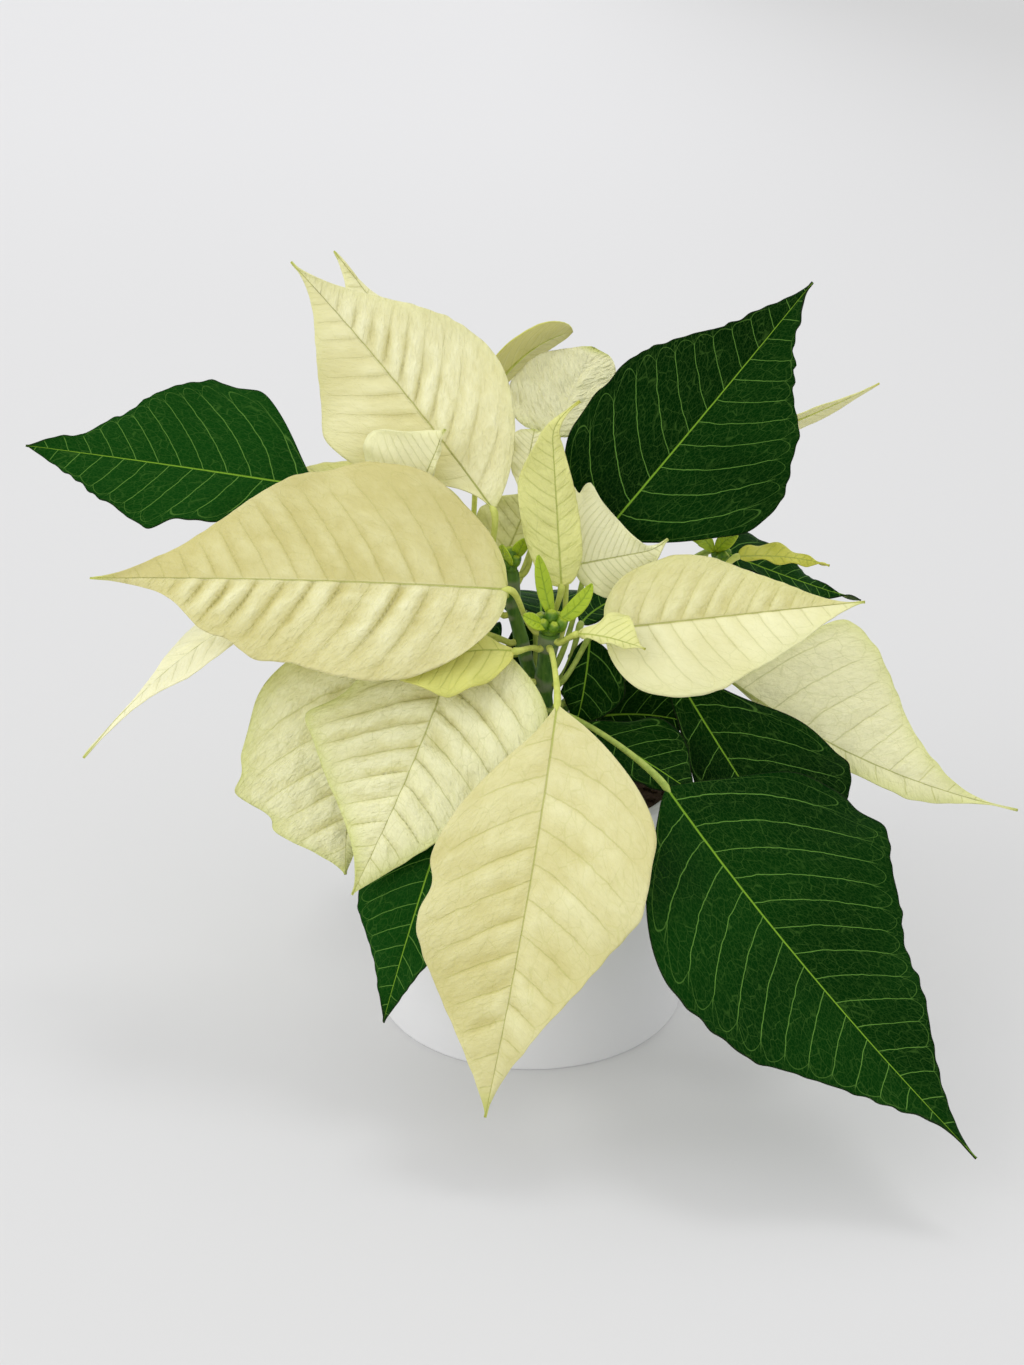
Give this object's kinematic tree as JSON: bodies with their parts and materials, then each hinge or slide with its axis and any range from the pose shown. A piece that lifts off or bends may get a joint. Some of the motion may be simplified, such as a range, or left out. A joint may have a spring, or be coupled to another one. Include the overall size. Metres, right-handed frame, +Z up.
{
  "type": "potted poinsettia",
  "caption": "Potted white poinsettia: cream bracts and dark green leaves on stalks from one branched stem, in a plain round white pot filled with soil.",
  "frame": {"origin": "centre of the pot's flat underside, on the surface it stands on", "axes": "+Z up along the pot's axis; -Y towards the viewer of the picture; +X to the viewer's right"},
  "size_m": [0.3412, 0.2539, 0.2544],
  "materials": {
    "pot": "plain white glaze, satin gloss",
    "soil": "dark brown potting soil, dull",
    "stem": "smooth green bark, slight sheen",
    "cream": "soft cream-white bract, satin, with fine raised veins",
    "young": "yellow-green bract or young leaf, satin",
    "dark": "deep green leaf, slight sheen",
    "bud": "green flower buds, slight sheen"
  },
  "bodies": {
    "root": {"pot": "pot", "soil": "soil", "stem": "stem", "bract_left": "cream", "bract_back_left": "cream", "bract_behind_left": "cream", "bract_small_folded": "cream", "bract_edge_behind_left": "young", "bract_front": "cream", "bract_right": "cream", "bract_small_right": "young", "bract_upright": "young", "bract_back_middle": "cream", "bract_shaded": "cream", "bract_behind_buds": "cream", "bract_olive_behind": "young", "bract_inner_right": "cream", "bract_far_right": "young", "bract_small_far_right": "young", "bract_drooping_right": "cream", "bract_front_left": "cream", "bract_under_left": "young", "bract_lower_left": "cream", "bract_far_left": "cream", "leaf_back_right": "dark", "leaf_left": "dark", "leaf_front_right": "dark", "leaf_front_left": "dark", "leaf_far_right": "dark", "leaf_centre": "dark", "leaf_under_right": "dark", "leaf_shaded_right": "dark", "leaf_low_right": "dark", "leaf_centre_left": "dark", "leaf_back_centre": "dark", "leaf_back_left_low": "dark", "leaf_back_right_low": "dark", "leaf_back_low": "dark", "buds_main": "bud", "buds_left": "bud", "shoot_right": "bud"}
  },
  "joints": []
}
